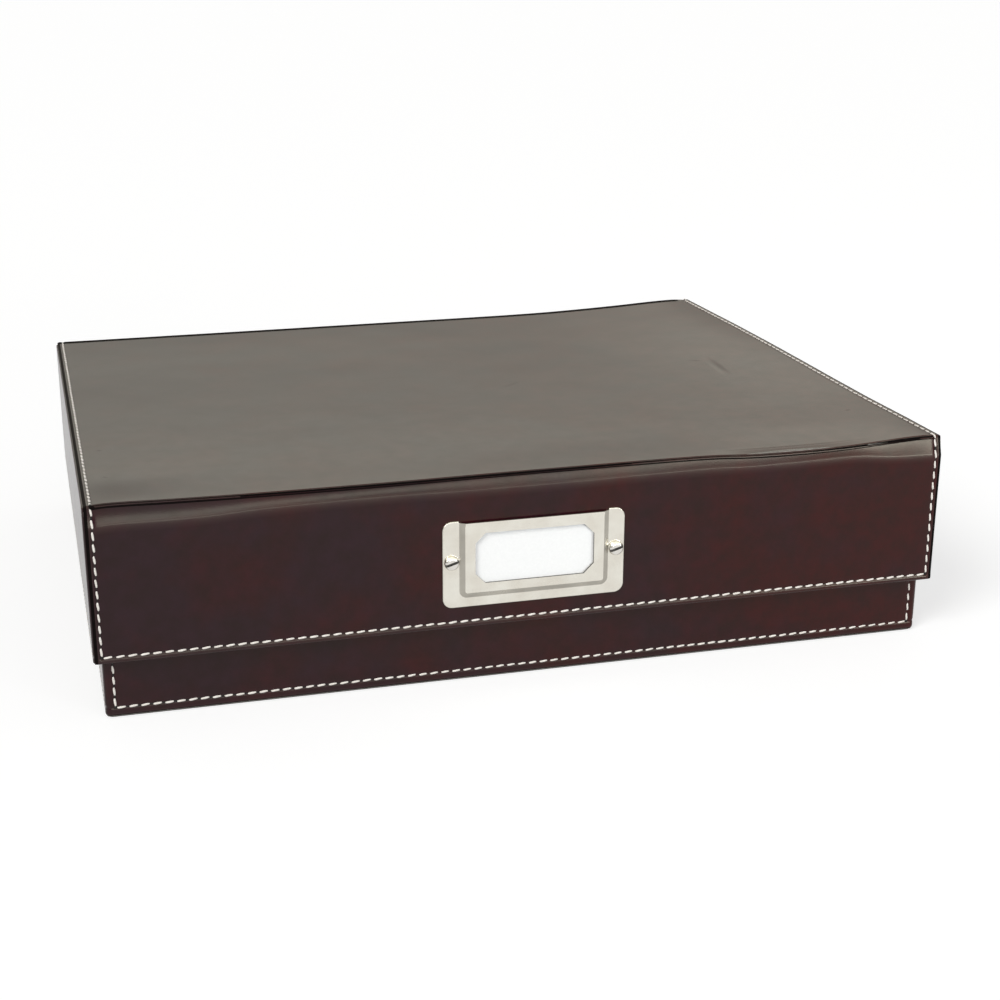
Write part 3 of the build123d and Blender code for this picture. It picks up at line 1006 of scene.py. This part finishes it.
def flatRow(bm, start, end, normal, wave=None):
    start, end, way = Vector(start), Vector(end), Vector(normal)
    count = max(1, round((end - start).length / seam["rowStep"]))
    points = [start.lerp(end, k / count) for k in range(count + 1)]
    if wave:
        points = [p + way * wave(p) for p in points]
    return seamRow(bm, points, [way] * len(points))


def threadPiece(name, body, fill):
    bm = bmesh.new()
    count = fill(bm)
    bmesh.ops.recalc_face_normals(bm, faces=bm.faces[:])
    piece = meshObject(name, bm, (thread, holeShade))
    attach(piece, body)
    print(name, count, "stitches,", len(piece.data.polygons), "faces")


def wrapWave(p):
    wave = wrap["waves"] * ripple(p.x, p.y, p.z, wrap["waveLength"], wrap["waveSeed"])
    return smooth(sheetCut["hemRound"], wrap["calmBelow"], seam["lidHem"]) * wave


def lidEdgeRow(bm, sign):
    # Follows the wrap itself, from the hem row at the back over the top to the one in front
    inside = len(hemProfile(lid["halfDepth"], lid["low"]))
    slack = 0.05  # waves move the points on the hem row a little
    column = [place for place in wholeColumn(sign * lidRow, False)[inside:-inside]
              if place[0][2] >= lidHemRow - slack]
    return seamRow(bm, [Vector(place[0]) for place in column], [Vector(place[3]) for place in column])


def lidRows(bm):
    count = lidEdgeRow(bm, -1) + lidEdgeRow(bm, 1)
    side, half, z = lid["halfWidth"], lid["halfDepth"], lidHemRow
    reach = half - seam["lidMargin"]
    for way in (-1, 1):
        count += flatRow(
            bm, (way * lidRow, way * half, z), (-way * lidRow, way * half, z), (0, way, 0), wrapWave)
    for way in (-1, 1):
        count += flatRow(bm, (way * side, -way * reach, z), (way * side, way * reach, z), (way, 0, 0))
    return count


def baseRows(bm):
    count = 0
    x, y = base["halfWidth"], base["halfDepth"]
    mx, my = x - seam["baseMargin"], y - seam["baseMargin"]
    low, high = seam["baseHem"], base["rim"] - seam["rimMargin"]
    for way in (-1, 1):
        for z in (low, high):
            count += flatRow(bm, (way * -mx, way * y, z), (way * mx, way * y, z), (0, way, 0))
            count += flatRow(bm, (way * x, -way * my, z), (way * x, way * my, z), (way, 0, 0))
        for side in (-1, 1):
            count += flatRow(bm, (side * mx, way * y, high), (side * mx, way * y, low), (0, way, 0))
    return count


threadPiece("lid_stitching", "lid", lidRows)
threadPiece("base_stitching", "base", baseRows)


# Carried-over nodes: boards, card frame, screws, posts and card
# Faces that get a second or third material, the painted shade, found by where they are on the piece
holderFaces = {"windowHalf": 26.0, "windowLow": 9.5, "windowHigh": 31.8}
screwFaces = {"headRise": 1.6, "headRadius": 2.9, "slotFloor": 0.6, "slotBack": 1.0}


def middleOf(values):
    return (min(values) + max(values)) / 2


def shadeHolder(mesh):
    # Painted shade: the pressed bends take the darker copy of the plate, and the window's cut edge the
    # dark slot material
    middle = middleOf([v.co.x / mm for v in mesh.vertices])
    foot = min(v.co.z for v in mesh.vertices) / mm
    for face in mesh.polygons:
        at = face.center / mm
        inWindow = (abs(at.x - middle) < holderFaces["windowHalf"]
                    and holderFaces["windowLow"] < at.z - foot < holderFaces["windowHigh"])
        if 0.5 < abs(face.normal.y) < 0.97:
            face.material_index = 1
        # the window's cut edge takes the dark slot material as painted shade
        elif inWindow and abs(face.normal.y) < 0.3:
            face.material_index = 2


def shadeSlots(mesh):
    # Painted shade: walls that stand inside each head, and the floor between them
    places = [v.co / mm for v in mesh.vertices]
    front = min(p.y for p in places)
    heads = [p for p in places if p.y < front + screwFaces["headRise"]]
    centre = sum(p.x for p in heads) / len(heads)
    for way in (-1, 1):
        side = [p for p in heads if way * (p.x - centre) > 0]
        cx, cz = middleOf([p.x for p in side]), middleOf([p.z for p in side])
        for face in mesh.polygons:
            at = face.center / mm
            inHead = math.hypot(at.x - cx, at.z - cz) <= screwFaces["headRadius"]
            isWall = abs(face.normal.y) < 0.3
            isFloor = face.normal.y < -0.99 and at.y > front + screwFaces["slotFloor"]
            if inHead and at.y <= front + screwFaces["slotBack"] and (isWall or isFloor):
                face.material_index = 1


dressing = {
    "label_holder": (plateNickel, shadedNickel, slotShade),
    "label_screws": (screwNickel, slotShade),
    "label_posts": (screwNickel,),
    "label_card": (indexCard,),
}
dressing.update((name, (greyboard,)) for name in nodes if name.endswith("_board"))
for name, materials in dressing.items():
    nodes[name].data.materials.clear()
    for material in materials:
        nodes[name].data.materials.append(material)
shadeHolder(nodes["label_holder"].data)
shadeSlots(nodes["label_screws"].data)
print("carried-over nodes dressed")


# Stage: floor, world, lamps and camera, in metres
stageLook = {
    "floorHalf": 9,
    "floor": "#b6b6b5",
    "floorGlow": 0.65,  # with the light on its grey, this comes to white
    "fill": 0.34,  # world light on diffuse surfaces
    "room": "#fcfbec",  # what mirrors see of the room: dim walls under a bright ceiling
    "walls": 0.22,
    "ceiling": 1.68,
    "cornice": (0.16, 0.36),  # upward part of the directions between which one becomes the other
    "key": {"from": (-0.8, -0.6, 0.8), "spread": 28, "strength": 1.95},
    "lampTone": (0.95, 0.975, 1.0),
    "lampAim": (0, -0.14, 0.05),
    "left": {"place": (0.06, -1.8, 0.26), "size": (0.85, 0.3), "power": 5.1},
    "right": {"place": (0.86, -1.8, 0.26), "size": (0.6, 0.28), "power": 5.6},
    "farRight": {"place": (1.28, -1.8, 0.35), "size": (0.34, 0.45), "power": 7.4},
}


def stageFloor():
    # Matt grey paint that only cameras, mirrors and glass see as white, so it keeps its shadows
    material, add = newMaterial("floorPaint")
    path = add("LightPath")
    seen = add("Math", {
        0: path.outputs["Is Camera Ray"], 1: path.outputs["Is Glossy Ray"]}, operation="ADD")
    seen = add("Math", {0: seen.outputs[0], 1: path.outputs["Is Transmission Ray"]}, operation="ADD")
    glow = add("Math", {0: seen.outputs[0], 1: stageLook["floorGlow"]}, operation="MULTIPLY")
    matt = add("BsdfDiffuse", {"Color": linear(stageLook["floor"])})
    light = add("Emission", {"Color": (1, 1, 1, 1), "Strength": glow.outputs[0]})
    both = add("AddShader", {0: matt.outputs[0], 1: light.outputs[0]})
    add("OutputMaterial", {"Surface": both.outputs[0]})
    bm = bmesh.new()
    bmesh.ops.create_grid(bm, x_segments=8, y_segments=8, size=stageLook["floorHalf"])
    meshObject("floor", bm, (material,))


def stageWorld():
    world = bpy.data.worlds.new("studio")
    bpy.context.scene.world = world
    add = nodeAdder(world)
    path = add("LightPath")
    seen = add("Math", {
        0: path.outputs["Is Glossy Ray"], 1: path.outputs["Is Transmission Ray"]}, operation="ADD")
    way = add("SeparateXYZ", {0: add("TexCoord").outputs["Generated"]})
    room = add("MapRange", {
        "Value": way.outputs["Z"], "From Min": stageLook["cornice"][0],
        "From Max": stageLook["cornice"][1], "To Min": stageLook["walls"],
        "To Max": stageLook["ceiling"]}, interpolation_type="SMOOTHSTEP")
    level = add("Mix", {
        0: seen.outputs[0], 2: stageLook["fill"], 3: room.outputs[0]}, data_type="FLOAT")
    tone = add("Mix", {
        0: seen.outputs[0], 6: (1, 1, 1, 1), 7: linear(stageLook["room"])}, data_type="RGBA")
    # The camera itself sees plain white above the floor
    level = add("Mix", {
        0: path.outputs["Is Camera Ray"], 2: level.outputs[0], 3: 1.0}, data_type="FLOAT")
    background = add("Background", {"Color": tone.outputs[2], "Strength": level.outputs[0]})
    add("OutputWorld", {"Surface": background.outputs[0]})


def aimed(holder, way):
    holder.rotation_euler = Vector(way).to_track_quat("-Z", "Y").to_euler()


def stageSun(name, look):
    # A large far softbox
    lamp = bpy.data.lights.new(name, "SUN")
    lamp.angle = math.radians(look["spread"])
    lamp.energy = look["strength"]
    aimed(addObject(name, lamp), -Vector(look["from"]))


def stageLamp(name, look):
    lamp = bpy.data.lights.new(name, "AREA")
    lamp.shape = "RECTANGLE"
    lamp.color = stageLook["lampTone"]
    lamp.size, lamp.size_y = look["size"]
    lamp.energy = look["power"]
    holder = addObject(name, lamp)
    holder.location = look["place"]
    aimed(holder, Vector(stageLook["lampAim"]) - Vector(look["place"]))
    holder.visible_camera = False


view = {
    "place": (-0.1912, -0.75477, 0.28998),
    "turn": (71.619, 0.426, -13.987),
    "sensor": 36,
    "lens": 60.964,
    "shift": 0.06,
    "clip": (0.01, 50),
}


def stageCamera():
    camera = bpy.data.cameras.new("camera")
    camera.sensor_width = view["sensor"]
    camera.lens = view["lens"]
    camera.shift_x = view["shift"]
    camera.clip_start, camera.clip_end = view["clip"]
    holder = addObject("camera", camera)
    holder.location = view["place"]
    holder.rotation_euler = [math.radians(v) for v in view["turn"]]
    bpy.context.scene.camera = holder


stageFloor()
stageWorld()
stageSun("keyLamp", stageLook["key"])
for name in ("left", "right", "farRight"):
    stageLamp(name + "Lamp", stageLook[name])
stageCamera()
bpy.context.scene.view_settings.view_transform = "Standard"
print("stage set")
